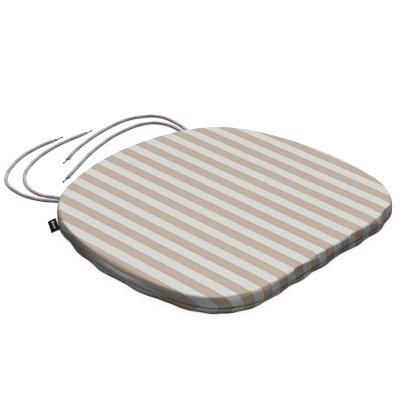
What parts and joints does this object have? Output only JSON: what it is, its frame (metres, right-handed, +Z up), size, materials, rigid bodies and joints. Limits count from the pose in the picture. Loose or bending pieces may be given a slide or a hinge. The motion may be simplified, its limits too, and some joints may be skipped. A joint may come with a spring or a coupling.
{
  "type": "chair seat pad",
  "caption": "Flat tie-on chair seat pad with rounded back, straight front, striped removable cover, foam inside, back zip, corner ties and a folded side label.",
  "frame": {"origin": "middle of the flat underside, on the surface that the pad rests on", "axes": "+Z up through the pad's thickness, +Y to the rounded back edge with the ties, +X to the right across the pad's width"},
  "size_m": [0.3996, 0.4952, 0.025],
  "materials": {
    "cover_cloth": "striped beige and off-white woven cotton-polyester",
    "foam": "open-cell polyurethane foam",
    "tie_cloth": "narrow turned tube of the cover cloth",
    "thread": "dark grey sewing thread, waxed",
    "label_cloth": "black woven satin tape with a plain pale bar",
    "zip_tape": "beige woven polyester tape",
    "zip_nylon": "nylon coil",
    "zip_metal": "tumbled nickel plate"
  },
  "bodies": {
    "pad": {"top_cover": "cover_cloth", "bottom_cover": "cover_cloth", "foam_core": "foam", "side_label": "label_cloth", "zip_tape_upper": "zip_tape", "zip_tape_lower": "zip_tape", "zip_coil_upper": "zip_nylon", "zip_coil_lower": "zip_nylon", "zip_top_stop_upper": "zip_metal", "zip_top_stop_lower": "zip_metal", "zip_bottom_stop": "zip_metal", "tie_left_outer": "tie_cloth", "tie_left_inner": "tie_cloth", "tie_right_outer": "tie_cloth", "tie_right_inner": "tie_cloth", "end_binding_left_outer": "thread", "end_binding_left_inner": "thread", "end_binding_right_outer": "thread", "end_binding_right_inner": "thread", "thread_tail_left_outer": "thread", "thread_tail_left_inner": "thread", "thread_tail_right_outer": "thread", "thread_tail_right_inner": "thread"},
    "slider": {"zip_slider": "zip_metal"},
    "pull": {"zip_pull": "zip_metal"}
  },
  "joints": [
    {"name": "zip_travel", "type": "hinge", "parent": "pad", "child": "slider", "pos_m": [0, -0.1095, 0.011], "axis": [0, 0, -1], "range_deg": [0, 35]},
    {"name": "pull_swing", "type": "hinge", "parent": "slider", "child": "pull", "pos_m": [-0.09009, 0.17623, 0.011], "axis": [0, 0, 1], "range_deg": [0, 175]}
  ]
}
